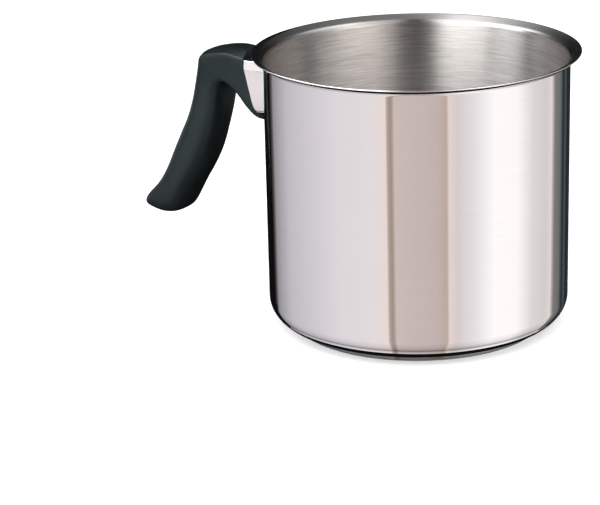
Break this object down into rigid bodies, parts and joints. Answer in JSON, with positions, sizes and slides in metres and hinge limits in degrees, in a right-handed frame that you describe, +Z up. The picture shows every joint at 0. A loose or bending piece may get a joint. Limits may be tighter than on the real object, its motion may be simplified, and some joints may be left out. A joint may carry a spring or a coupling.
{
  "type": "milk pan",
  "caption": "Tall round steel milk pan with a flared pouring rim, a sandwich base, litre marks inside and a black drop handle on a steel ferrule.",
  "frame": {"origin": "centre of the flat face of the base that the pan stands on", "axes": "+Z up along the pot's axis, handle along -X, the handle's middle plane is Y = 0"},
  "size_m": [0.2304, 0.152, 0.1307],
  "materials": {
    "pot_steel": "polished",
    "cap_steel": "satin",
    "core_aluminium": "satin",
    "ferrule_steel": "polished",
    "bracket_steel": "satin",
    "screw_steel": "satin",
    "phenolic": "satin"
  },
  "bodies": {
    "root": {"pot_body": "pot_steel", "base_core": "core_aluminium", "base_cap": "cap_steel", "ferrule": "ferrule_steel", "handle_bracket": "bracket_steel", "bracket_nut": "screw_steel", "handle_grip": "phenolic", "lock_washer": "screw_steel", "handle_screw": "screw_steel"}
  },
  "joints": []
}
